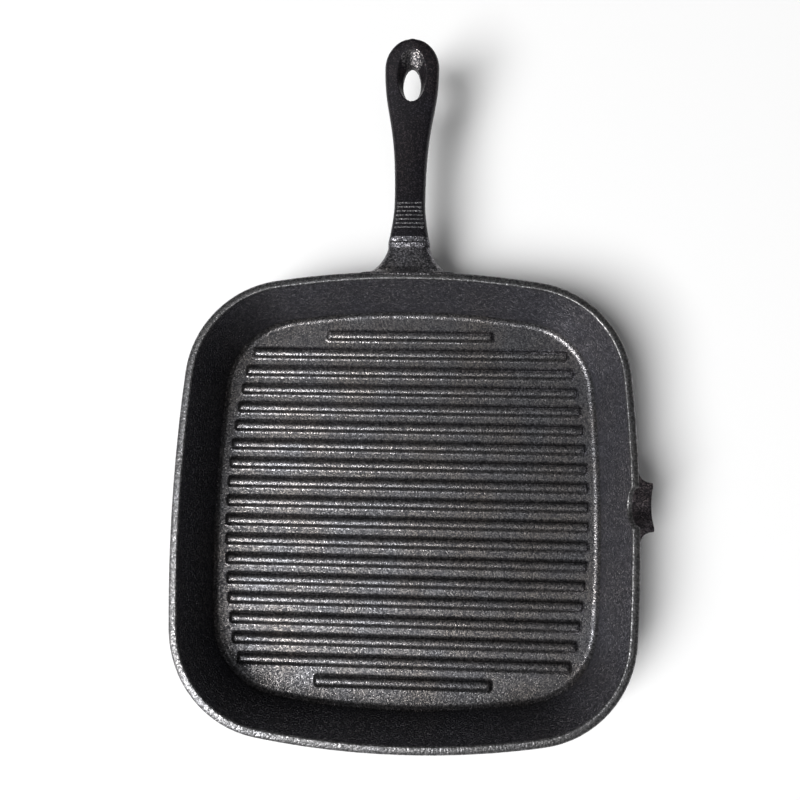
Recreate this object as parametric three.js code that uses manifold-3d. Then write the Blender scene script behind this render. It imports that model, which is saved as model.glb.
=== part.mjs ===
// Square cast-iron grill pan with a ribbed floor, one pour spout and a long handle.
// Millimetres, +Z up. The origin is the middle of the flat underside, the handle points
// along +Y and the spout along +X.
import * as THREE from 'three';
import { mergeVertices } from 'three/addons/utils/BufferGeometryUtils.js';
import Module from 'manifold-3d';

const wasm = await Module();
wasm.setup();

// Pan body: the outline is that of the rim's inner edge, a square with bowed sides
const rimInnerWidth = 250.8;
const rimInnerLength = 256.6;
const rimCornerRadius = 55.2;
const sideBowRadius = 950;
const endBowRadius = 478;
const rimThickness = 4.8;
const rimCrownDrop = 2.2;
const rimEdgeRadius = 0.6;
const panHeight = 46;
const floorThickness = 4;
const wallThickness = 3.8;
const wallLean = 9.8;
const footFillet = 4;
const baseEdgeRun = 4;

// Grill ribs: as many as fit along the floor, the first and last one short
const ribPitch = 11.55;
const ribFootWidth = 5.2;
const ribCrestWidth = 2.4;
const ribCrestRadius = 0.9;
const ribHeight = 3.2;
const ribEndRadius = 1.2;
const ribEndMargin = 3.6;
const ribEndBowRadius = 420;
const ribRowMargin = 5;
const shortRibLength = 102.6;

// Pour spout on the +X side, with a round-bottomed trough between two lips
const troughWidth = 21.6;
const troughDepth = 5.8;
const spoutReach = 7.3;
const spoutLipWidth = 2.6;
const spoutLipDrop = 1;
const spoutFloor = 5;
const spoutSideFlare = 5.5;
const spoutUnderRun = 9;

// Handle root that flares out of the wall, lower than the rim
const rootLength = 17.8;
const rootTopDrop = 5.5;
const rootFlare = 17.5;
const rootGusset = 13;
const rootEndWidth = 24.4;

// Handle grip: two low steps, a level thumb pad, a neck and a swelling end that sweeps up
const stepRise = 1.2;
const stepLength = 3.2;
const padLength = 24;
const gripLength = 124.5;
const gripNeckWidth = 18.3;
const gripEndWidth = 32.6;
const gripRise = 12;
const gripThickness = 12;
const gripEndThickness = 8;
const gripTopRadius = 2;
const gripUnderRadius = 4.5;
const tipEasing = 3;

// Hang hole near the tip, at the bottom of a dish
const holeLength = 22.9;
const holeWidth = 10.6;
const holeTipGap = 14.1;
const dishRimWidth = 7.8;
const dishTipGap = 7.1;
const dishNearMargin = 1.3;
const dishDepth = 6;
const dishFootInset = 0.3;

// Thumb ridges: as many as fit on the level pad
const ridgePitch = 2.5;
const ridgeWidth = 1.4;
const ridgeCrestRadius = 0.3;
const ridgeHeight = 0.7;
const ridgeSideMargin = 1.95;
const ridgeNearMargin = 6.9;
const ridgeFarMargin = 1.3;

// Gap between cast regions that meet on a curved face
const seamGap = 0.3;

// Facets, and shares that shape a curve or keep a rounding inside its section
const sideSteps = 4;
const cornerSteps = 10;
const arcSteps = 4;
const roundSteps = 3;
const eggSteps = 24;
const eggNarrowing = 0.08;
const roundingShare = 0.48;
const dishMidLevel = 0.45;
const swellStart = 0.66;
const swellEnd = 0.36;

const bodyIron = new THREE.MeshStandardMaterial({ color: 0x2b2a2b, roughness: 0.55, metalness: 0.6 });
const ribIron = new THREE.MeshStandardMaterial({ color: 0x34322f, roughness: 0.5, metalness: 0.6 });
const handleIron = new THREE.MeshStandardMaterial({ color: 0x232121, roughness: 0.6, metalness: 0.55 });

const pan = new THREE.Group();

function addPiece(name, geometry, material) {
  const mesh = new THREE.Mesh(geometry, material);
  mesh.name = name;
  pan.add(mesh);
}

function solidGeometry(positions, triangles) {
  const geometry = new THREE.BufferGeometry();
  geometry.setAttribute('position', new THREE.Float32BufferAttribute(positions, 3));
  geometry.setIndex(triangles);
  return geometry;
}

// Closed body through rings of equal count, each counter-clockwise seen from the last ring's side
function loftedSolid(rings) {
  const count = rings[0].length;
  const positions = rings.flat().flatMap((p) => [p.x, p.y, p.z]);
  const triangles = [];
  for (let r = 0; r + 1 < rings.length; r += 1) {
    for (let i = 0; i < count; i += 1) {
      const a = r * count + i;
      const b = r * count + (i + 1) % count;
      triangles.push(a, b, b + count, a, b + count, a + count);
    }
  }
  const addCap = (ring, first, reversed) => {
    const middle = ring.reduce((sum, p) => sum.add(p), new THREE.Vector3()).divideScalar(count);
    const hub = positions.length / 3;
    positions.push(middle.x, middle.y, middle.z);
    for (let i = 0; i < count; i += 1) {
      const edge = [first + i, first + (i + 1) % count];
      triangles.push(hub, ...(reversed ? edge.reverse() : edge));
    }
  };
  addCap(rings[0], 0, true);
  addCap(rings[rings.length - 1], (rings.length - 1) * count, false);
  return solidGeometry(positions, triangles);
}

function toManifold(geometry) {
  const bare = geometry.clone();
  bare.deleteAttribute('normal');
  bare.deleteAttribute('uv');
  const merged = mergeVertices(bare);
  const vertProperties = new Float32Array(merged.attributes.position.array);
  const triVerts = new Uint32Array(merged.index.array);
  return new wasm.Manifold(new wasm.Mesh({ numProp: 3, vertProperties, triVerts }));
}

function cutFrom(geometry, ...cutters) {
  const start = toManifold(geometry);
  const result = cutters.reduce((body, cutter) => body.subtract(toManifold(cutter)), start);
  const mesh = result.getMesh();
  return solidGeometry(Array.from(mesh.vertProperties), Array.from(mesh.triVerts));
}

function arcPoints(centreX, centreY, radiusX, radiusY, from, to, steps) {
  return Array.from({ length: steps + 1 }, (_, i) => {
    const angle = from + (to - from) * i / steps;
    return new THREE.Vector2(centreX + radiusX * Math.cos(angle), centreY + radiusY * Math.sin(angle));
  });
}

// Rim outline as base points with outward normals, so that every height is an offset of it
function rimOutlineRays() {
  const halfY = rimInnerLength / 2;
  const sideX = rimInnerWidth / 2 - sideBowRadius;
  const endY = halfY - endBowRadius;
  // A corner's arc touches a side's arc and an end's arc, so its centre is where two circles cross
  const sideReach = sideBowRadius - rimCornerRadius;
  const endReach = endBowRadius - rimCornerRadius;
  const spread = Math.hypot(sideX, endY);
  const along = (sideReach ** 2 - endReach ** 2 + spread ** 2) / (2 * spread);
  const apart = Math.sqrt(sideReach ** 2 - along ** 2);
  const cornerX = sideX - (sideX * along + endY * apart) / spread;
  const cornerY = (endY * along - sideX * apart) / spread;
  const sideAngle = Math.atan2(cornerY, cornerX - sideX);
  const endAngle = Math.atan2(cornerY - endY, cornerX);
  const quarter = [];
  const addArc = (x, y, radius, from, to, steps) => {
    for (let i = 0; i < steps; i += 1) {
      const angle = from + (to - from) * i / steps;
      const normal = new THREE.Vector2(Math.cos(angle), Math.sin(angle));
      const base = new THREE.Vector2(x, y).addScaledVector(normal, radius);
      quarter.push({ base, normal });
    }
  };
  addArc(sideX, 0, sideBowRadius, 0, sideAngle, sideSteps);
  addArc(cornerX, cornerY, rimCornerRadius, sideAngle, endAngle, cornerSteps);
  addArc(0, endY, endBowRadius, endAngle, Math.PI / 2, sideSteps);
  quarter.push({ base: new THREE.Vector2(0, halfY), normal: new THREE.Vector2(0, 1) });
  const mirrored = (ray, signX, signY) => {
    const sign = new THREE.Vector2(signX, signY);
    return { base: ray.base.clone().multiply(sign), normal: ray.normal.clone().multiply(sign) };
  };
  const farHalf = [...quarter, ...quarter.slice(0, -1).reverse().map((ray) => mirrored(ray, -1, 1))];
  const nearHalf = farHalf.slice(1, -1).reverse().map((ray) => mirrored(ray, 1, -1));
  return [...farHalf, ...nearHalf];
}

const rimRays = rimOutlineRays();

function outlineRing(offset, z) {
  return rimRays.map(({ base, normal }) => {
    const p = base.clone().addScaledVector(normal, offset);
    return new THREE.Vector3(p.x, p.y, z);
  });
}

// Wall section, as offsets from the rim's inner edge against height
const leanAngle = Math.atan(wallLean / (panHeight - floorThickness));
const filletRun = footFillet * Math.tan(Math.PI / 4 - leanAngle / 2);
const footOffset = -wallLean - filletRun;
const outerFootOffset = wallThickness - wallLean;
const crownFoot = panHeight - rimCrownDrop;

function wallSection() {
  const crownRun = rimThickness - rimEdgeRadius;
  const filletZ = floorThickness + footFillet;
  const fillet = arcPoints(footOffset, filletZ, footFillet, footFillet, -leanAngle, -Math.PI / 2, arcSteps);
  return [
    new THREE.Vector2(outerFootOffset, floorThickness),
    ...arcPoints(rimEdgeRadius, crownFoot, crownRun, rimCrownDrop, 0, Math.PI / 2, arcSteps),
    new THREE.Vector2(0, panHeight - rimEdgeRadius),
    ...fillet,
  ];
}

// The wall section carried round the outline as one closed ring
function sweptWall() {
  const loops = wallSection().map((p) => outlineRing(p.x, p.y));
  const count = rimRays.length;
  const positions = loops.flat().flatMap((p) => [p.x, p.y, p.z]);
  const triangles = [];
  loops.forEach((_, j) => {
    const here = j * count;
    const above = ((j + 1) % loops.length) * count;
    for (let i = 0; i < count; i += 1) {
      const next = (i + 1) % count;
      triangles.push(here + i, here + next, above + next, here + i, above + next, above + i);
    }
  });
  return solidGeometry(positions, triangles);
}

// Everything inside the wall's outer face and the seam gap, to trim what is cast onto the wall
function wallEnvelope() {
  const foot = outerFootOffset + seamGap;
  const outer = rimThickness + seamGap;
  return loftedSolid([
    outlineRing(foot, -floorThickness),
    outlineRing(foot, floorThickness),
    outlineRing(outer, crownFoot),
    outlineRing(outer, panHeight + floorThickness),
  ]);
}

// Floor plate with a rounded lower edge, under the wall and the ribs
const plateRun = outerFootOffset - baseEdgeRun;
const plateEdge = arcPoints(
  plateRun, floorThickness, baseEdgeRun, floorThickness, -Math.PI / 2, 0, arcSteps,
);
addPiece('pan_floor', loftedSolid(plateEdge.map((p) => outlineRing(p.x, p.y))), bodyIron);

// Wall with a crowned rim, cut through by the spout's trough
const outerHalfWidth = rimInnerWidth / 2 + rimThickness;
const spoutEnd = outerHalfWidth + spoutReach;
const troughRadius = (troughWidth ** 2 / 4 + troughDepth ** 2) / (2 * troughDepth);
const troughStart = rimInnerWidth / 2 + footOffset;
const troughRun = spoutEnd + spoutReach - troughStart;
const trough = new THREE.CylinderGeometry(troughRadius, troughRadius, troughRun, eggSteps);
trough.rotateZ(Math.PI / 2);
trough.translate(troughStart + troughRun / 2, 0, panHeight - troughDepth + troughRadius);
addPiece('pan_wall', cutFrom(sweptWall(), trough), bodyIron);

// Rounded rectangle in a level plane, centred on x = 0
function barOutline(length, width, endRadius, y, z) {
  const radius = Math.min(endRadius, width * roundingShare);
  const x = length / 2 - radius;
  const across = width / 2 - radius;
  const corners = [[x, across], [-x, across], [-x, -across], [x, -across]];
  return corners.flatMap(([cornerX, cornerY], turn) => {
    const from = turn * Math.PI / 2;
    const arc = arcPoints(cornerX, y + cornerY, radius, radius, from, from + Math.PI / 2, roundSteps);
    return arc.map((p) => new THREE.Vector3(p.x, p.y, z));
  });
}

// Drafted bar with a rounded crest, standing on the level face at z
function crestedBar({ length, footWidth, crestWidth, crestRadius, height, endRadius, y, z }) {
  const arcZ = height - crestRadius;
  const crestArc = arcPoints(crestWidth / 2, arcZ, crestRadius, crestRadius, 0, Math.PI / 2, 2);
  const flank = [new THREE.Vector2(footWidth / 2, 0), ...crestArc];
  return loftedSolid(flank.map((p) => {
    const inset = footWidth / 2 - p.x;
    return barOutline(length - 2 * inset, 2 * p.x, endRadius, y, z + p.y);
  }));
}

// Half width of the outline at a given y, between the two points on either side of it
function halfWidthAt(points, y) {
  const next = Math.max(1, points.findIndex((p) => p.y >= y));
  const a = points[next - 1];
  const b = points[next];
  return a.x + (b.x - a.x) * (y - a.y) / (b.y - a.y);
}

// Ribs that end on a bowed line, at least one margin inside the floor's edge
const quarterCount = rimRays.length / 4;
const ribEnds = outlineRing(footOffset - ribEndMargin, floorThickness).slice(0, quarterCount + 1);
const rowHalf = rimInnerLength / 2 + footOffset - ribRowMargin - ribFootWidth / 2;
const ribsEachWay = Math.floor(rowHalf / ribPitch);
const ribReach = rimInnerWidth / 2 + footOffset - ribEndMargin;
const bowInset = (y) => ribEndBowRadius - Math.sqrt(ribEndBowRadius ** 2 - y ** 2);
for (let row = ribsEachWay; row >= -ribsEachWay; row -= 1) {
  const rowY = Math.abs(row) * ribPitch;
  const fullLength = 2 * Math.min(halfWidthAt(ribEnds, rowY), ribReach - bowInset(rowY));
  const outermost = Math.abs(row) === ribsEachWay;
  const shortName = row > 0 ? 'short_rib_far' : 'short_rib_near';
  const fullName = `rib_${String(ribsEachWay - row).padStart(2, '0')}`;
  addPiece(outermost ? shortName : fullName, crestedBar({
    length: outermost ? Math.min(shortRibLength, fullLength) : fullLength,
    footWidth: ribFootWidth,
    crestWidth: ribCrestWidth,
    crestRadius: ribCrestRadius,
    height: ribHeight,
    endRadius: ribEndRadius,
    y: row * ribPitch,
    z: floorThickness,
  }), ribIron);
}

// Upright section, flat on top with rounded edges and rounder below, put in its plane by place
function slabSection(halfWidth, top, bottom, topRadius, underRadius, place) {
  const limit = Math.min(top - bottom, 2 * halfWidth) * roundingShare;
  const upper = Math.min(topRadius, limit);
  const under = Math.min(underRadius, limit);
  const corners = [
    [halfWidth - upper, top - upper, upper],
    [upper - halfWidth, top - upper, upper],
    [under - halfWidth, bottom + under, under],
    [halfWidth - under, bottom + under, under],
  ];
  return corners.flatMap(([across, z, radius], turn) => {
    const from = turn * Math.PI / 2;
    const arc = arcPoints(across, z, radius, radius, from, from + Math.PI / 2, roundSteps);
    return arc.map((p) => place(p.x, p.y));
  });
}

// Spout: two lips and a floor cast onto the wall, tapering outwards round the trough
const envelope = wallEnvelope();

function pourSpout() {
  const lipTop = panHeight - spoutLipDrop;
  const endWidth = troughWidth + 2 * spoutLipWidth;
  const endDepth = troughDepth - spoutLipDrop + spoutFloor;
  const buriedX = rimInnerWidth / 2 - wallLean;
  const inPlaneOfX = (x) => (across, z) => new THREE.Vector3(x, across, z);
  const flanks = arcPoints(spoutEnd, 0, spoutReach, 1, Math.PI, Math.PI / 2, arcSteps);
  const rings = flanks.map((p) => {
    const flare = 1 - p.y;
    const halfWidth = endWidth / 2 + spoutSideFlare * flare;
    const depth = endDepth + spoutUnderRun * flare;
    return slabSection(halfWidth, lipTop, lipTop - depth, spoutLipDrop, depth, inPlaneOfX(p.x));
  });
  const buried = rings[0].map((p) => new THREE.Vector3(buriedX, p.y, p.z));
  return cutFrom(loftedSolid([buried, ...rings]), envelope, trough);
}
addPiece('pour_spout', pourSpout(), bodyIron);

// Handle root: a gusset that narrows and thins from the wall to the grip's first step
const rootStart = rimInnerLength / 2 + rimThickness;
const rootEnd = rootStart + rootLength;
const rootTop = panHeight - rootTopDrop;
const padTop = rootTop + 2 * stepRise;
const inPlaneOfY = (y) => (across, z) => new THREE.Vector3(-across, y, z);

function handleRoot() {
  const flanks = arcPoints(rootEnd, 0, rootLength, 1, Math.PI, Math.PI / 2, 2 * arcSteps);
  const rings = flanks.map((p) => {
    const flare = 1 - p.y;
    const halfWidth = rootEndWidth / 2 + rootFlare * flare;
    const bottom = padTop - gripThickness - rootGusset * flare;
    const underRadius = gripUnderRadius + rootGusset * flare;
    return slabSection(halfWidth, rootTop, bottom, gripTopRadius, underRadius, inPlaneOfY(p.x));
  });
  const buriedY = rootStart - wallLean - wallThickness;
  const buried = rings[0].map((p) => new THREE.Vector3(p.x, buriedY, p.z));
  return cutFrom(loftedSolid([buried, ...rings]), envelope);
}
addPiece('handle_root', handleRoot(), handleIron);

// Grip plan as half width (x) against y: thumb pad, neck, swelling end and round tip
const padStart = rootEnd + stepLength;
const padEnd = padStart + padLength;
const gripTip = rootEnd + gripLength;
const tipRadius = gripEndWidth / 2;
const tipCentre = gripTip - tipRadius;

function gripPlan() {
  const padHalf = (rootEndWidth - stepRise) / 2;
  const neckHalf = gripNeckWidth / 2;
  const swellLength = tipCentre - padEnd;
  const pad = new THREE.CubicBezierCurve(
    new THREE.Vector2(padHalf, padStart),
    new THREE.Vector2((padHalf + neckHalf) / 2, padStart + padLength / 3),
    new THREE.Vector2(neckHalf, padEnd - padLength / 3),
    new THREE.Vector2(neckHalf, padEnd),
  );
  const swell = new THREE.CubicBezierCurve(
    new THREE.Vector2(neckHalf, padEnd),
    new THREE.Vector2(neckHalf, padEnd + swellLength * swellStart),
    new THREE.Vector2(tipRadius, tipCentre - swellLength * swellEnd),
    new THREE.Vector2(tipRadius, tipCentre),
  );
  const tipEndAngle = Math.PI / 2 * (1 - 1 / (2 * arcSteps));
  const tip = arcPoints(0, tipCentre, tipRadius, tipRadius, 0, tipEndAngle, 2 * arcSteps);
  return [...pad.getPoints(arcSteps), ...swell.getPoints(2 * arcSteps).slice(1), ...tip.slice(1)];
}

const plan = gripPlan();
const gripTop = (y) => padTop + gripRise * Math.max(0, (y - padEnd) / (gripTip - padEnd)) ** 2;

// Grip section at y, lowered on the first step and eased in thickness at the very tip
function gripSection(halfWidth, y, lowered) {
  const along = (y - rootEnd) / gripLength;
  const thickness = gripThickness + (gripEndThickness - gripThickness) * along;
  const easing = Math.max(0, 1 - (gripTip - y) / tipEasing) * thickness / 4;
  const top = gripTop(y) - lowered - easing;
  const bottom = gripTop(y) - thickness + easing;
  return slabSection(halfWidth, top, bottom, gripTopRadius, gripUnderRadius, inPlaneOfY(y));
}

// Egg outline between two values of y, narrower towards the tip, at a level over the grip's top
function eggRing(near, far, width, level) {
  return Array.from({ length: eggSteps }, (_, i) => {
    const angle = i / eggSteps * 2 * Math.PI;
    const y = (near + far) / 2 + (far - near) / 2 * Math.sin(angle);
    const x = width / 2 * Math.cos(angle) * (1 - eggNarrowing * Math.sin(angle));
    return new THREE.Vector3(x, y, gripTop(y) + level);
  });
}

function handleGrip() {
  const step = [
    gripSection(rootEndWidth / 2, rootEnd, stepRise),
    gripSection(plan[0].x, padStart - stepRise / 2, stepRise),
  ];
  const rings = plan.map((p) => gripSection(p.x, p.y, 0));
  const holeFar = gripTip - holeTipGap;
  const holeNear = holeFar - holeLength;
  const dishFar = gripTip - dishTipGap;
  const dishNear = holeNear - dishNearMargin;
  const dishWidth = gripEndWidth - 2 * dishRimWidth;
  const hole = loftedSolid([
    eggRing(holeNear, holeFar, holeWidth, -2 * gripThickness),
    eggRing(holeNear, holeFar, holeWidth, gripThickness),
  ]);
  // The dish falls from its rim to the hole, steeper near the hole, and is cut from above
  const midFar = (holeFar + dishFar) / 2;
  const midNear = (holeNear + dishNear) / 2;
  const dish = loftedSolid([
    eggRing(holeNear + dishFootInset, holeFar - dishFootInset, holeWidth - 2 * dishFootInset, -dishDepth),
    eggRing(midNear, midFar, (holeWidth + dishWidth) / 2, -dishDepth * dishMidLevel),
    eggRing(dishNear, dishFar, dishWidth, 0),
    eggRing(dishNear, dishFar, dishWidth, dishDepth),
  ]);
  return cutFrom(loftedSolid([...step, ...rings]), hole, dish);
}
addPiece('handle_grip', handleGrip(), handleIron);

// Thumb ridges across the level pad, nearest the pan first
const ridgeRun = padLength - ridgeNearMargin - ridgeFarMargin;
const ridgeCount = Math.floor(ridgeRun / ridgePitch) + 1;
for (let i = 0; i < ridgeCount; i += 1) {
  const y = padStart + ridgeNearMargin + i * ridgePitch;
  addPiece(`thumb_ridge_${i + 1}`, crestedBar({
    length: 2 * (halfWidthAt(plan, y) - ridgeSideMargin),
    footWidth: ridgeWidth,
    crestWidth: ridgeWidth - 3 * ridgeCrestRadius,
    crestRadius: ridgeCrestRadius,
    height: ridgeHeight,
    endRadius: ridgeWidth / 2,
    y,
    z: padTop,
  }), handleIron);
}

export default pan;
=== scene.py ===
# Square cast-iron grill pan: a ribbed floor, a flared wall with a crowned rim, one pour spout and a
# long handle with a dished hang hole. It is one sand casting, seasoned with oil that is baked on.
# Shapes are worked out in millimetres in the pan's own frame: handle along +Y, spout along +X.
import math

import bmesh
import bpy
import numpy as np
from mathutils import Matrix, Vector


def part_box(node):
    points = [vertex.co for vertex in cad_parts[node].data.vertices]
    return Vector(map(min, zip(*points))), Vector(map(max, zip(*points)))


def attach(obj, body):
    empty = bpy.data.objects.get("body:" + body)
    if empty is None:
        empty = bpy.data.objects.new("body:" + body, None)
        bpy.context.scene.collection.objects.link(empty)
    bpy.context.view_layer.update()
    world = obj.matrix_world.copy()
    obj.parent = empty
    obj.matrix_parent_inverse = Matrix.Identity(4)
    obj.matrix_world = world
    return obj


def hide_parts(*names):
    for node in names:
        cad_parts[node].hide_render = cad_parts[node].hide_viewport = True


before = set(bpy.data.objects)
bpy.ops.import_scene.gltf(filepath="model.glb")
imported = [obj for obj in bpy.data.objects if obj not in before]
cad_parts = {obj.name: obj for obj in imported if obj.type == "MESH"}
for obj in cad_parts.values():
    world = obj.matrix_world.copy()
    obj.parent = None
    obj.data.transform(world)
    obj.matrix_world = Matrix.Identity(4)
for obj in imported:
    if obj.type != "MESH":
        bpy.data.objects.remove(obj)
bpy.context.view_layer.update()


# Camera: a 36 mm lens on a 36 mm frame, held nearly straight above the pan, a little to the near
# right of its middle, and turned so that the handle points up in the picture.
MM = 0.001
camera_place = (19.4, -13.4, 492.4)
camera_turn = (9.04, 2.65, 1.31)

camera_data = bpy.data.cameras.new("camera")
camera_data.lens = 36
camera_data.sensor_width = 36
camera = bpy.data.objects.new("camera", camera_data)
camera.location = [distance * MM for distance in camera_place]
camera.rotation_euler = [math.radians(angle) for angle in camera_turn]
bpy.context.scene.collection.objects.link(camera)
bpy.context.scene.camera = camera


# Floor plate: the flat bottom of the casting, a square with bowed sides and round corners.
# Grey iron, cast in sand, with a flat underside that stands on the hob and a rounded lower edge.
corner_radius = 55.2
side_bow = 950
end_bow = 478
rim_width = 4.8
wall_lean = 9.8
wall_thickness = 3.8
lower_edge_run = 4
side_steps = 24
corner_steps = 16
edge_steps = 6
sharp_angle = math.radians(50)


def node_box(name):
    """Lowest and highest corner of a node, in millimetres."""
    low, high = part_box(name)
    return np.array(low) / MM, np.array(high) / MM


def half_outline(side_angles):
    """The rim's inner edge from the spout's side to the far left corner, with outward normals."""
    corner_turn = np.linspace(side_end, far_start, corner_steps, endpoint=False)
    far_turn = np.linspace(far_start, math.pi - far_start, side_steps, endpoint=False)
    arcs = [
        (side_x, 0, side_bow, side_angles),
        (corner_x, corner_y, corner_radius, corner_turn),
        (0, end_y, end_bow, far_turn),
        (-corner_x, corner_y, corner_radius, math.pi - side_end - far_start + corner_turn),
    ]
    points = []
    normals = []
    for x, y, radius, angles in arcs:
        normal = np.column_stack([np.cos(angles), np.sin(angles)])
        points.append(np.array([x, y]) + radius * normal)
        normals.append(normal)
    return np.concatenate(points), np.concatenate(normals)


def full_outline(spout_angles):
    """The whole rim: the half with the spout, then the same half turned round without it."""
    points, normals = half_outline(spout_angles)
    far_points, far_normals = half_outline(plain_angles)
    return np.concatenate([points, -far_points]), np.concatenate([normals, -far_normals])


def offset_ring(outline, offset, z):
    """The outline moved outwards by an offset, at a height; both may differ from point to point."""
    points, normals = outline
    level = np.broadcast_to(z, len(points))
    return np.column_stack([points + normals * np.reshape(offset, (-1, 1)), level])


def loft(name, rings, joined=False):
    """A piece through rings of points in millimetres, capped at its ends or joined into a loop."""
    count = len(rings[0])
    steps = len(rings) if joined else len(rings) - 1
    faces = []
    for step in range(steps):
        here = step * count
        there = (step + 1) % len(rings) * count
        for i in range(count):
            j = (i + 1) % count
            faces.append((here + i, here + j, there + j, there + i))
    if not joined:
        faces.append(tuple(reversed(range(count))))
        faces.append(tuple(range(steps * count, steps * count + count)))
    mesh = bpy.data.meshes.new(name)
    mesh.from_pydata((np.concatenate(rings) * MM).tolist(), [], faces)
    mesh.shade_smooth()
    mesh.set_sharp_from_angle(angle=sharp_angle)
    piece = bpy.data.objects.new(name, mesh)
    bpy.context.scene.collection.objects.link(piece)
    return piece


def arc(centre_x, centre_z, radius_x, radius_z, start, end, steps):
    """Points on an arc of an ellipse, as rows of two, with the angles in degrees."""
    angles = np.radians(np.linspace(start, end, steps + 1))
    return np.column_stack([centre_x + radius_x * np.cos(angles), centre_z + radius_z * np.sin(angles)])


# The arcs of the outline: a corner's arc touches a side's and an end's, so two circles cross at its centre
wall_high = node_box("pan_wall")[1]
rim_top = wall_high[2]
floor_top = node_box("pan_floor")[1][2]
half_x = wall_high[0] - rim_width
half_y = wall_high[1] - rim_width
side_x = half_x - side_bow
end_y = half_y - end_bow
spread = math.hypot(side_x, end_y)
side_reach = side_bow - corner_radius
end_reach = end_bow - corner_radius
along = (side_reach ** 2 - end_reach ** 2 + spread ** 2) / (2 * spread)
apart = math.sqrt(side_reach ** 2 - along ** 2)
corner_x = side_x - (side_x * along + end_y * apart) / spread
corner_y = (end_y * along - side_x * apart) / spread
side_end = math.atan2(corner_y, corner_x - side_x)
far_start = math.atan2(corner_y - end_y, corner_x)
plain_angles = np.linspace(-side_end, side_end, side_steps, endpoint=False)

outer_foot = wall_thickness - wall_lean
plate_edge = arc(outer_foot - lower_edge_run, floor_top, lower_edge_run, floor_top, -90, 0, edge_steps)
plate_outline = full_outline(plain_angles)
cast_floor = loft("cast_floor", [offset_ring(plate_outline, run, z) for run, z in plate_edge])


def linear(hex_colour):
    """An sRGB hex colour as linear red, green, blue and alpha."""
    channels = [int(hex_colour[i:i + 2], 16) / 255 for i in (1, 3, 5)]
    return [c / 12.92 if c <= 0.04045 else ((c + 0.055) / 1.055) ** 2.4 for c in channels] + [1]


def add_node(tree, kind, inputs=(), **settings):
    """A new node with its settings, and with each input set to a value or linked to a socket."""
    node = tree.nodes.new(kind)
    for name, value in settings.items():
        setattr(node, name, value)
    for socket, value in dict(inputs).items():
        if isinstance(value, bpy.types.NodeSocket):
            tree.links.new(value, node.inputs[socket])
        else:
            node.inputs[socket].default_value = value
    return node


def seasoned_iron(name, pit, cold, warm, grain, grain_height, rarity, smooth, rough, metal, gloss):
    """Sand-cast iron under a baked oil film: a satin black skin over the grain that the sand leaves.

    Each grain of sand leaves a small dome. Most are dull and black and a few are rubbed smooth and
    grey, the fewer the higher the rarity, so a lit face glints and a shaded one stays plain black.
    The film goes from cold to warm black in patches. Sizes are in millimetres, and the grain is
    drawn a little coarser than the sand, so that it shows in a picture of the whole pan."""
    patch_size = 28
    patch_detail = 3
    patch_edge = (0.35, 0.65)
    material = bpy.data.materials.new(name)
    material.use_nodes = True
    tree = material.node_tree
    shader = tree.nodes["Principled BSDF"]
    place = add_node(tree, "ShaderNodeTexCoord").outputs["Object"]
    patches = add_node(tree, "ShaderNodeTexNoise", {
        "Vector": place, "Scale": 1 / (patch_size * MM), "Detail": patch_detail})
    grains = add_node(tree, "ShaderNodeTexVoronoi", {"Vector": place, "Scale": 1 / (grain * MM)})
    film = add_node(tree, "ShaderNodeMapRange", {
        "Value": patches.outputs["Fac"], "From Min": patch_edge[0], "From Max": patch_edge[1]})
    chance = add_node(tree, "ShaderNodeSeparateColor", {"Color": grains.outputs["Color"]}).outputs["Red"]
    rubbed = add_node(tree, "ShaderNodeMath", {0: chance, 1: rarity}, operation="POWER").outputs["Value"]
    skin = add_node(tree, "ShaderNodeMix", {
        "Factor": film.outputs["Result"], "A": linear(cold), "B": linear(warm)}, data_type="RGBA")
    tint = add_node(tree, "ShaderNodeMix", {
        "Factor": rubbed, "A": linear(pit), "B": skin.outputs["Result"]}, data_type="RGBA")
    satin = add_node(tree, "ShaderNodeMapRange", {"Value": rubbed, "To Min": rough, "To Max": smooth})
    bump = add_node(tree, "ShaderNodeBump", {
        "Height": grains.outputs["Distance"], "Strength": 1, "Distance": grain_height * MM}, invert=True)
    tree.links.new(tint.outputs["Result"], shader.inputs["Base Color"])
    tree.links.new(satin.outputs["Result"], shader.inputs["Roughness"])
    tree.links.new(bump.outputs["Normal"], shader.inputs["Normal"])
    shader.inputs["Metallic"].default_value = metal
    shader.inputs["Specular IOR Level"].default_value = gloss
    return material


# A fine grey grain that glints where it faces the light, on a plate that is left as cast
floor_iron = seasoned_iron(
    "sand_cast_floor_iron", pit="#3a3a3e", cold="#8e8e91", warm="#97918c", grain=0.6, grain_height=0.09,
    rarity=2, smooth=0.24, rough=0.43, metal=0.85, gloss=0.5)
cast_floor.data.materials.append(floor_iron)
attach(cast_floor, "root")
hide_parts("pan_floor")


# Wall: leans out from a round inside foot to a rim that is crowned down to its outer edge.
# The same grey iron, cast with the floor; the rim dips into the spout's trough on the +X side.
# The rim and the round foot are rubbed barer than the faces between them, each with its own finish.
rim_crown_drop = 1.4
rim_edge_radius = 0.9
foot_fillet = 4
foot_steps = 12
face_steps = 6
crown_steps = 8
rim_edge_steps = 4
sink = 0.5
trough_width = 21.6
trough_depth = 5.8
trough_easing = 0.5
trough_margin = 1.3
trough_steps = 36
wall_finish, rim_finish, foot_finish = range(3)

trough_radius = (trough_width ** 2 / 4 + trough_depth ** 2) / (2 * trough_depth)
trough_centre_z = rim_top - trough_depth + trough_radius
crown_foot = rim_top - rim_crown_drop
lean_angle = math.atan(wall_lean / (rim_top - floor_top))
foot_offset = -wall_lean - foot_fillet * math.tan(math.pi / 4 - lean_angle / 2)


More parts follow.
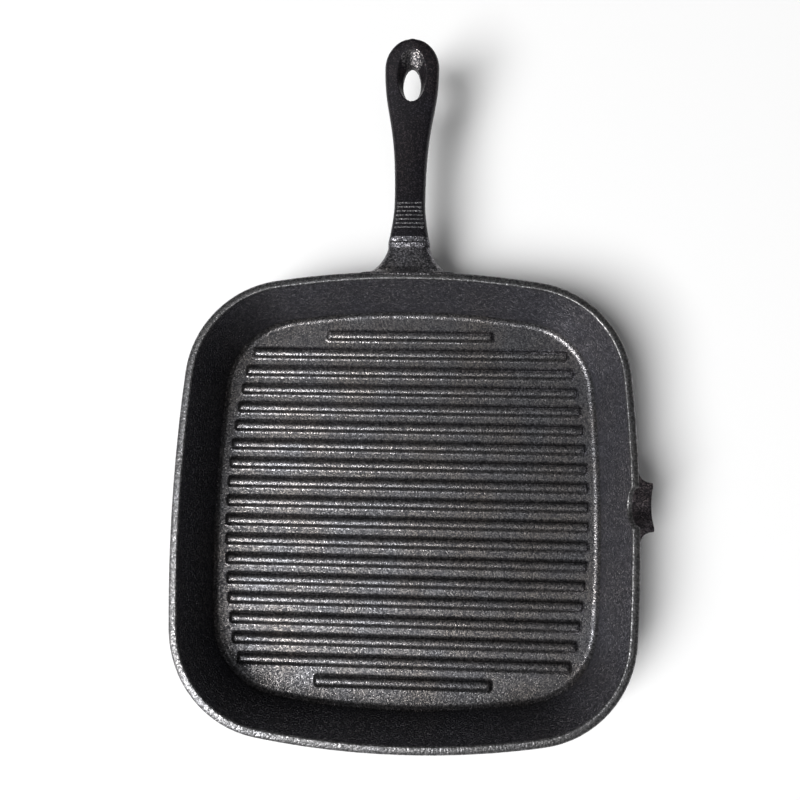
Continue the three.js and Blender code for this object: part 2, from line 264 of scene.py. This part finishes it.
def trough_height(across):
    """Height of the round-bottomed trough at a distance across it, rising steeply past its edges."""
    inside = np.minimum(np.abs(across), trough_radius)
    beyond = np.abs(across) - inside
    return trough_centre_z - np.sqrt(trough_radius ** 2 - inside ** 2) + beyond * trough_radius


def eased_lower(a, b, easing):
    """The lower of two heights, with the edge between them rounded over."""
    return (a + b - np.sqrt((a - b) ** 2 + easing ** 2)) / 2


def wall_section():
    """Offsets and heights round the wall, from the outer foot over the crown to the inner foot.

    Beside each row stands the finish of the stretch that starts there: wall, rim or foot fillet."""
    outer = np.linspace([outer_foot, floor_top], [rim_width, crown_foot], face_steps, endpoint=False)
    crown_run = rim_width - rim_edge_radius
    crown = arc(rim_edge_radius, crown_foot, crown_run, rim_crown_drop, 0, 90, crown_steps)
    edge_centre = rim_top - rim_edge_radius
    edge = arc(rim_edge_radius, edge_centre, rim_edge_radius, rim_edge_radius, 90, 180, rim_edge_steps)
    lean = math.degrees(lean_angle)
    fillet = arc(foot_offset, floor_top + foot_fillet, foot_fillet, foot_fillet, -lean, -90, foot_steps)
    inner = np.linspace(edge[-1], fillet[0], face_steps, endpoint=False)
    feet = [[foot_offset, floor_top - sink], [outer_foot, floor_top - sink]]
    stretches = [outer, crown, edge[1:-1], inner, fillet, feet]
    finishes = [wall_finish, rim_finish, rim_finish, wall_finish, foot_finish, wall_finish]
    return np.concatenate(stretches), np.repeat(finishes, [len(stretch) for stretch in stretches])


# Points across the trough are close together, so that its round edges stay smooth
trough_turn = math.asin(trough_margin * trough_width / 2 / side_bow)
outside = plain_angles[np.abs(plain_angles) > trough_turn]
spout_angles = np.sort(np.append(outside, np.linspace(-trough_turn, trough_turn, trough_steps)))
wall_outline = full_outline(spout_angles)
on_spout_side = np.arange(len(wall_outline[0])) < len(spout_angles)
across = np.where(on_spout_side, wall_outline[0][:, 1], half_y)
dip = eased_lower(np.full(len(across), rim_top), trough_height(across), trough_easing)
fillet_top = floor_top + foot_fillet
dip_share = (np.minimum(dip, rim_top) - fillet_top) / (rim_top - fillet_top)

section, finish = wall_section()
wall_rings = []
for run, z in section:
    over_fillet = max(0, z - fillet_top)
    dipped = z - over_fillet * (1 - dip_share)
    drawn_in = wall_lean * (z - dipped) / (rim_top - floor_top)
    wall_rings.append(offset_ring(wall_outline, run - drawn_in, dipped))
cast_wall = loft("cast_wall", wall_rings, joined=True)

# The wall as cast: a coarser skin, cold grey where it is lit and plain black in its own shade
wall_iron = seasoned_iron(
    "sand_cast_wall_iron", pit="#3e3e44", cold="#7b7a82", warm="#807d81", grain=0.9, grain_height=0.18,
    rarity=2, smooth=0.18, rough=0.5, metal=0.65, gloss=0.5)

# The rim: little film on its grains, so it turns pale towards the light and dark away from it
rim_iron = seasoned_iron(
    "sand_cast_rim_iron", pit="#505051", cold="#949497", warm="#989696", grain=0.9, grain_height=0.14,
    rarity=1.5, smooth=0.33, rough=0.48, metal=1, gloss=0.5)

# Rubbed iron: the smoothest of the cast skins, which draws a bright line along each round edge
rubbed_iron = seasoned_iron(
    "sand_cast_rubbed_iron", pit="#37373a", cold="#98989c", warm="#a19b98", grain=0.6, grain_height=0.08,
    rarity=2, smooth=0.22, rough=0.36, metal=0.85, gloss=0.5)

# The finishes stand in the order of their numbers, and the faces of the loft lie ring by ring
for iron in (wall_iron, rim_iron, rubbed_iron):
    cast_wall.data.materials.append(iron)
for face in cast_wall.data.polygons:
    face.material_index = finish[face.index // len(wall_outline[0])]
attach(cast_wall, "root")
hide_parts("pan_wall")


# Pour spout: a short round-bottomed trough between two lips, to pour fat off over the rim.
# Cast onto the wall, which it joins with flared flanks, so it starts inside the wall's thickness.
lip_drop = 1
lip_edge_radius = 0.8
lip_steps = 4
lip_width = 2.6
spout_floor = 5
flank_flare = 5.5
under_run = 9
spout_grid = 0.4
trough_sink = 0.1
trough_points = 25
spout_rings = 14
round_share = 0.48

spout_end = node_box("pour_spout")[1][0]
rim_outside = wall_high[0]
spout_reach = spout_end - rim_outside
lip_top = rim_top - lip_drop


def spout_section(half_width, bottom):
    """Closed outline of the spout across it, as rows of place across and height."""
    corner = min(half_width, lip_top - bottom) * round_share
    edge = lip_edge_radius
    lip = arc(half_width - edge, lip_top - edge, edge, edge, 0, 90, lip_steps)
    inside = np.linspace(1, -1, trough_points) * trough_width / 2
    trough = np.column_stack([inside, trough_height(inside) - trough_sink])
    trough[:, 1] = eased_lower(trough[:, 1], lip_top, trough_easing)
    under = arc(half_width - corner, bottom + corner, corner, corner, -90, 0, edge_steps)
    mirrored = [-1, 1]
    return np.concatenate([under, lip, trough, lip[::-1] * mirrored, under[::-1] * mirrored])


def wall_middle(z):
    """Offset of the middle of the wall's thickness at a height."""
    outside = outer_foot + (rim_width - outer_foot) * (z - floor_top) / (crown_foot - floor_top)
    inside = -wall_lean * (rim_top - z) / (rim_top - floor_top)
    return (outside + inside) / 2


def softened(piece, grid, rounds, cutters=()):
    """Cut a piece, then draw it on an even grid and smooth it, so that its edges are cast round."""
    for cutter in cutters:
        cut = piece.modifiers.new("cut", "BOOLEAN")
        cut.object = cutter
        cut.operation = "DIFFERENCE"
    remesh = piece.modifiers.new("even_grid", "REMESH")
    remesh.mode = "VOXEL"
    remesh.voxel_size = grid * MM
    smooth = piece.modifiers.new("cast_edges", "SMOOTH")
    smooth.iterations = rounds
    rough_mesh = piece.data
    shape = piece.evaluated_get(bpy.context.evaluated_depsgraph_get())
    piece.data = bpy.data.meshes.new_from_object(shape)
    piece.modifiers.clear()
    piece.data.shade_smooth()
    piece.data.name = piece.name
    bpy.data.meshes.remove(rough_mesh)
    for cutter in cutters:
        bpy.data.objects.remove(cutter)


rings = []
for angle in np.linspace(math.pi, math.pi / 2, spout_rings):
    flare = 1 - math.sin(angle)
    depth = trough_depth - lip_drop + spout_floor + under_run * flare
    half_width = trough_width / 2 + lip_width + flank_flare * flare
    section = spout_section(half_width, lip_top - depth)
    x = np.full(len(section), spout_end + spout_reach * math.cos(angle))
    rings.append(np.column_stack([x, section]))
buried = rings[0].copy()
buried[:, 0] = half_x + wall_middle(buried[:, 2])
cast_spout = loft("cast_spout", [buried] + rings)
softened(cast_spout, spout_grid, rounds=3)

# Spout iron, darker and browner than the wall: the brown-black skin hides most of the grain, and a few
# grains gleam
spout_iron = seasoned_iron(
    "dark_brown_spout_iron", pit="#1f1d20", cold="#57535a", warm="#6d6466", grain=0.6, grain_height=0.1,
    rarity=3, smooth=0.24, rough=0.42, metal=0.75, gloss=0.3)
cast_spout.data.materials.append(spout_iron)
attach(cast_spout, "root")
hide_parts("pour_spout")


# Grill ribs: 17 long bars and a short one at each end that lift the food and mark it.
# Cast with the floor, so they stand on it with a round foot; crests are rubbed smooth by use.
rib_crest_run = 2.3
rib_crest_rise = 1.1
rib_foot_fillet = 2.2
rib_end_radius = 1
bar_tip_share = 0.96
bar_corner_steps = 6
bar_foot_steps = 8
crest_turn = 84
crest_steps = 10


def bar_outline(half_length, half_width, corner, y, z):
    """A bar's outline in a level plane: a rectangle along X with round corners."""
    radius = min(corner, half_width * bar_tip_share)
    x = half_length - radius
    over = half_width - radius
    turns = [(x, over, 0), (-x, over, 90), (-x, -over, 180), (x, -over, 270)]
    corners = [arc(cx, y + cy, radius, radius, turn, turn + 90, bar_corner_steps) for cx, cy, turn in turns]
    flat = np.concatenate(corners)
    return np.column_stack([flat, np.full(len(flat), z)])


def crested_bar(name, node, crest_run, crest_rise, fillet, end_radius):
    """A bar in the place of a node, with a crowned crest and a round foot on the face that carries it."""
    low, high = node_box(node)
    half_length = high[0]
    half_foot = (high[1] - low[1]) / 2
    y = (high[1] + low[1]) / 2
    shoulder = high[2] - crest_rise
    flank = math.degrees(math.atan2(shoulder - low[2], half_foot - crest_run))
    foot_run = fillet * math.tan(math.radians(flank) / 2)
    foot = arc(half_foot + foot_run, low[2] + fillet, fillet, fillet, 270, 270 - flank, bar_foot_steps)
    crest = arc(0, shoulder, crest_run, crest_rise, 0, crest_turn, crest_steps)
    sunk = [[half_foot + foot_run, low[2] - sink]]
    rings = []
    for half_width, z in np.concatenate([sunk, foot, crest]):
        widening = half_width - half_foot
        rings.append(bar_outline(half_length + widening, half_width, end_radius + max(0, widening), y, z))
    return loft(name, rings)


rib_nodes = sorted(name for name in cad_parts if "rib_" in name)
for node in rib_nodes:
    rib = crested_bar(
        "cast_" + node, node, rib_crest_run, rib_crest_rise, rib_foot_fillet, rib_end_radius)
    rib.data.materials.append(rubbed_iron)
    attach(rib, "root")
    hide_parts(node)


# Handle: a flared root under the rim, two low steps, a level thumb pad, a neck and a swelling end
# that sweeps up to a dished hang hole. Cast with the pan; the grip is fettled smoother than the body.
root_top_drop = 5.5
root_flare = 18
root_spread = 0.28
root_gusset = 13
root_end_width = 24.8
root_valley = 5
step_rise = 1.2
step_length = 3.2
step_run = 2.2
step_groove = 0.4
pad_length = 24
neck_width = 18.3
end_width = 32.6
grip_rise = 12
grip_thickness = 12
end_thickness = 8
grip_top_radius = 3.5
root_top_radius = 6
grip_under_radius = 4.5
pad_crown = 0.4
end_crown = 0.8
tip_easing = 3
tip_share = 0.42
swell_start = 0.66
swell_end = 0.36
grip_length = 124.5
handle_grid = 0.45
round_steps = 5
crown_points = 9
root_ring_count = 25
pad_steps = 12
neck_steps = 28
tip_steps = 22
tip_turn = 88

root_start = wall_high[1]
root_end = node_box("handle_root")[1][1]
root_length = root_end - root_start
grip_tip = root_end + grip_length
root_top = rim_top - root_top_drop
pad_top = root_top + 2 * step_rise
pad_start = root_end + step_length
pad_end = pad_start + pad_length
tip_radius = end_width / 2
tip_centre = grip_tip - tip_radius


def bezier(points, steps):
    """Points on a cubic curve with four control points."""
    t = np.linspace(0, 1, steps + 1).reshape(-1, 1)
    a, b, c, d = np.array(points)
    return a * (1 - t) ** 3 + 3 * b * t * (1 - t) ** 2 + 3 * c * t ** 2 * (1 - t) + d * t ** 3


def slab_section(half_width, top, bottom, top_radius, under_radius, rise):
    """A flat bar's section, crowned on top and rounder below, as rows of place across and height."""
    most = min(top - bottom, 2 * half_width) * round_share
    upper = min(top_radius, most)
    under = min(under_radius, most)
    crown = np.linspace(half_width - upper, upper - half_width, crown_points)[1:-1]
    crowned = top + rise * (1 - (crown / (half_width - upper)) ** 2)
    return np.concatenate([
        arc(half_width - upper, top - upper, upper, upper, 0, 90, round_steps),
        np.column_stack([crown, crowned]),
        arc(upper - half_width, top - upper, upper, upper, 90, 180, round_steps),
        arc(under - half_width, bottom + under, under, under, 180, 270, round_steps),
        arc(half_width - under, bottom + under, under, under, 270, 360, round_steps),
    ])


def handle_top(y):
    """Height of the grip's top along the handle: level on the pad, then sweeping up to the tip."""
    return pad_top + grip_rise * np.maximum(0, (y - pad_end) / (grip_tip - pad_end)) ** 2


def handle_ring(section, y):
    """A section of the handle set upright across it at y."""
    return np.column_stack([-section[:, 0], np.full(len(section), y), section[:, 1]])


def root_rings():
    """The flared root: wide and deep at the wall, with a round valley where its top meets the rim."""
    rings = []
    for angle in np.linspace(math.pi, math.pi / 2, root_ring_count):
        flare = (1 - root_spread) * (1 - math.sin(angle)) - root_spread * math.cos(angle)
        y = root_end - step_run / 2 + (root_length - step_run / 2) * math.cos(angle)
        in_valley = max(0, root_valley - (y - root_start))
        rise = root_valley - math.sqrt(root_valley ** 2 - in_valley ** 2)
        half_width = root_end_width / 2 + root_flare * flare
        bottom = pad_top - grip_thickness - root_gusset * flare
        section = slab_section(
            half_width, root_top + rise, bottom, root_top_radius, grip_under_radius + root_gusset * flare,
            pad_crown)
        ring = handle_ring(section, y)
        ring[:, 1] -= flare * ring[:, 0] ** 2 / (2 * side_bow)
        rings.append(ring)
    buried = rings[0].copy()
    buried[:, 1] += wall_middle(buried[:, 2]) - rim_width
    return [buried] + rings


def grip_rings():
    """The grip from its first step to its round tip."""
    pad_half = (root_end_width - step_rise) / 2
    neck_half = neck_width / 2
    swell = tip_centre - pad_end
    pad = bezier([
        (pad_half, pad_start), ((pad_half + neck_half) / 2, pad_start + pad_length / 3),
        (neck_half, pad_end - pad_length / 3), (neck_half, pad_end)], pad_steps)
    neck = bezier([
        (neck_half, pad_end), (neck_half, pad_end + swell * swell_start),
        (tip_radius, tip_centre - swell * swell_end), (tip_radius, tip_centre)], neck_steps)
    tip = arc(0, tip_centre, tip_radius, tip_radius, 0, tip_turn, tip_steps)
    step_half = root_end_width / 2
    step = [(step_half, root_end + step_run / 2), (step_half, pad_start - step_run / 2)]
    pad[0, 1] += step_run / 2
    rings = []
    for half_width, y in np.concatenate([step, pad, neck[1:], tip[1:]]):
        lowered = np.interp(y, [step[0][1], step[1][1], pad[0, 1]], [step_rise, step_rise + step_groove, 0])
        thickness = np.interp(y, [root_end, grip_tip], [grip_thickness, end_thickness])
        past = max(0, 1 - (grip_tip - y) / tip_easing)
        easing = (1 - math.sqrt(1 - past ** 2)) * thickness * tip_share
        top = handle_top(y)
        bottom = top - thickness + easing
        crown = np.interp(y, [pad_end, tip_centre], [pad_crown, end_crown])
        section = slab_section(
            half_width, top - lowered - easing, bottom, grip_top_radius, grip_under_radius, crown)
        rings.append(handle_ring(section, y))
    return rings


hole_length = 21.3
hole_width = 10.6
hole_tip_gap = 14.6
dish_rim_width = 7.8
dish_tip_gap = 7.1
dish_near_margin = 1.3
dish_depth = 4
dish_ring_count = 9
# Where the light strikes the far end of the dish, the paler lug iron paints a highlight
dish_highlight_width = 13.5
dish_highlight_run = 3.5
dish_facing = 0.3
egg_narrowing = 0.04
egg_points = 48


def egg_ring(near, far, width, level):
    """An egg-shaped ring, narrower towards the tip, at a level over the grip's top."""
    angles = np.linspace(0, 2 * math.pi, egg_points, endpoint=False)
    y = (near + far) / 2 + (far - near) / 2 * np.sin(angles)
    x = width / 2 * np.cos(angles) * (1 - egg_narrowing * np.sin(angles))
    return np.column_stack([x, y, handle_top(y) + level])


hole_far = grip_tip - hole_tip_gap
hole_near = hole_far - hole_length
dish_far = grip_tip - dish_tip_gap
dish_near = hole_near - dish_near_margin
dish_width = end_width - 2 * dish_rim_width
hole_cutter = loft("hole_cutter", [
    egg_ring(hole_near, hole_far, hole_width, level) for level in (-2 * grip_thickness, grip_thickness)])
dish_rings = []
for depth in np.linspace(1, 0, dish_ring_count):
    out = 1 - depth
    dish_rings.append(egg_ring(
        np.interp(out, [0, 1], [hole_near, dish_near]), np.interp(out, [0, 1], [hole_far, dish_far]),
        np.interp(out, [0, 1], [hole_width, dish_width]), -dish_depth * depth))
dish_rings.append(egg_ring(dish_near, dish_far, dish_width, dish_depth))
dish_cutter = loft("dish_cutter", dish_rings)

whole_handle = loft("whole_handle", root_rings() + grip_rings())
softened(whole_handle, handle_grid, rounds=4, cutters=[hole_cutter, dish_cutter])


def cut_off(piece, name, y, keep_near):
    """A copy of one side of a piece, cut square across the handle at y and closed there."""
    shape = bmesh.new()
    shape.from_mesh(piece.data)
    everything = shape.verts[:] + shape.edges[:] + shape.faces[:]
    cut = bmesh.ops.bisect_plane(
        shape, geom=everything, plane_co=(0, y * MM, 0), plane_no=(0, 1, 0),
        clear_outer=keep_near, clear_inner=not keep_near)
    edges = [item for item in cut["geom_cut"] if isinstance(item, bmesh.types.BMEdge)]
    bmesh.ops.contextual_create(shape, geom=edges)
    for edge in edges:
        edge.smooth = False
    bmesh.ops.recalc_face_normals(shape, faces=shape.faces[:])
    mesh = bpy.data.meshes.new(name)
    shape.to_mesh(mesh)
    shape.free()
    part = bpy.data.objects.new(name, mesh)
    bpy.context.scene.collection.objects.link(part)
    return part


# Lug iron that no tool or hand has smoothed: black pits between coarse bright grains; on the dish, a
# painted highlight
lug_and_highlight_iron = seasoned_iron(
    "sand_cast_lug_and_highlight_iron", pit="#313134", cold="#9a99a0", warm="#a19b99", grain=0.7, grain_height=0.13,
    rarity=2.5, smooth=0.22, rough=0.46, metal=0.9, gloss=0.5)

# Fettled and seasoned grip: the grain is ground away, which leaves a dark satin with a soft gleam
handle_iron = seasoned_iron(
    "fettled_seasoned_iron", pit="#17161a", cold="#3f3d45", warm="#473f41", grain=0.6, grain_height=0.04,
    rarity=4, smooth=0.26, rough=0.4, metal=0.5, gloss=0.35)
cast_root = cut_off(whole_handle, "cast_root", root_end, keep_near=True)
cast_grip = cut_off(whole_handle, "cast_grip", root_end, keep_near=False)
bpy.data.objects.remove(whole_handle)
cast_root.data.materials.append(lug_and_highlight_iron)
cast_grip.data.materials.append(handle_iron)

# The steps are left as cast and the rest of the grip is fettled; the far end of the dish gets a painted
# highlight
cast_grip.data.materials.append(lug_and_highlight_iron)
highlight_near = hole_far - dish_highlight_run
highlight_middle = (highlight_near + dish_far) / 2
for face in cast_grip.data.polygons:
    x, y = face.center.xy / MM
    beside = math.hypot(2 * x / dish_highlight_width, 2 * (y - highlight_middle) / (dish_far - highlight_near))
    in_painted_highlight = beside < 1 and face.normal.z > dish_facing
    face.material_index = int(in_painted_highlight or y < pad_start + step_run / 2)
for piece, node in ((cast_root, "handle_root"), (cast_grip, "handle_grip")):
    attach(piece, "root")
    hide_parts(node)


# Thumb ridges: seven small bars across the level pad that stop the thumb from slipping.
# Cast with the grip and rubbed bright along their crests.
ridge_crest_run = 0.6
ridge_crest_rise = 0.45
ridge_foot_fillet = 0.2
ridge_end_radius = 0.5

for node in sorted(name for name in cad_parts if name.startswith("thumb_ridge")):
    ridge = crested_bar(
        "cast_" + node, node, ridge_crest_run, ridge_crest_rise, ridge_foot_fillet, ridge_end_radius)
    ridge.data.materials.append(rubbed_iron)
    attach(ridge, "root")
    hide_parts(node)


# Stage: a white table in a plain room with white walls low down and dark above them. A weak panel hangs
# overhead and a tall soft box leans in from the near left, so the soft shadow falls to the far right.
table_colour = "#ffffff"
table_roughness = 0.9
table_gloss = 0.1
table_size = 6000
table_gap = 0.2
key_height = 52
key_distance = 8000
key_width = 3700
key_length = 5400
key_power = 800
panel_height = 80
panel_distance = 5000
panel_size = 5000
panel_power = 22
lamp_turn = 217
room_light = ((0, 1), (0.12, 1), (0.2, 0.05))

table_mesh = bpy.data.meshes.new("white_table")
reach = table_size / 2
corners = np.array([(-reach, -reach), (reach, -reach), (reach, reach), (-reach, reach)])
table_mesh.from_pydata((np.insert(corners, 2, -table_gap, axis=1) * MM).tolist(), [], [(0, 1, 2, 3)])
table = bpy.data.objects.new("white_table", table_mesh)
bpy.context.scene.collection.objects.link(table)

# Matt white board: even and without gloss, so only the shadow shows on it
matt_white = bpy.data.materials.new("matt_white_board")
matt_white.use_nodes = True
board_shader = matt_white.node_tree.nodes["Principled BSDF"]
board_shader.inputs["Base Color"].default_value = linear(table_colour)
board_shader.inputs["Roughness"].default_value = table_roughness
board_shader.inputs["Specular IOR Level"].default_value = table_gloss
table_mesh.materials.append(matt_white)

# Light of the room by the sine of the height at which it is seen, from the horizon to overhead
world = bpy.data.worlds.new("plain_room")
bpy.context.scene.world = world
world.use_nodes = True
sky = world.node_tree
heading = add_node(sky, "ShaderNodeTexCoord").outputs["Generated"]
height = add_node(sky, "ShaderNodeSeparateXYZ", {"Vector": heading}).outputs["Z"]
room = add_node(sky, "ShaderNodeValToRGB", {"Fac": height})
stops = room.color_ramp.elements
while len(stops) < len(room_light):
    stops.new(1)
for stop, (sine, level) in zip(stops, room_light):
    stop.position = sine
    stop.color = (level, level, level, 1)
sky.links.new(room.outputs["Color"], sky.nodes["Background"].inputs["Color"])


def soft_box(name, height, distance, width, length, power):
    """A soft light on the near left that looks at the pan; its height is in degrees."""
    light = bpy.data.lights.new(name, "AREA")
    light.shape = "RECTANGLE"
    light.size = width * MM
    light.size_y = length * MM
    light.energy = power
    lamp = bpy.data.objects.new(name, light)
    turn = math.radians(lamp_turn)
    rise = math.radians(height)
    level = math.cos(rise)
    heading = np.array([level * math.cos(turn), level * math.sin(turn), math.sin(rise)])
    lamp.location = heading * distance * MM
    lamp.rotation_euler = (math.pi / 2 - rise, 0, turn + math.pi / 2)
    bpy.context.scene.collection.objects.link(lamp)


soft_box("key_box", key_height, key_distance, key_width, key_length, key_power)
soft_box("overhead_panel", panel_height, panel_distance, panel_size, panel_size, panel_power)

bpy.context.scene.view_settings.view_transform = "Standard"
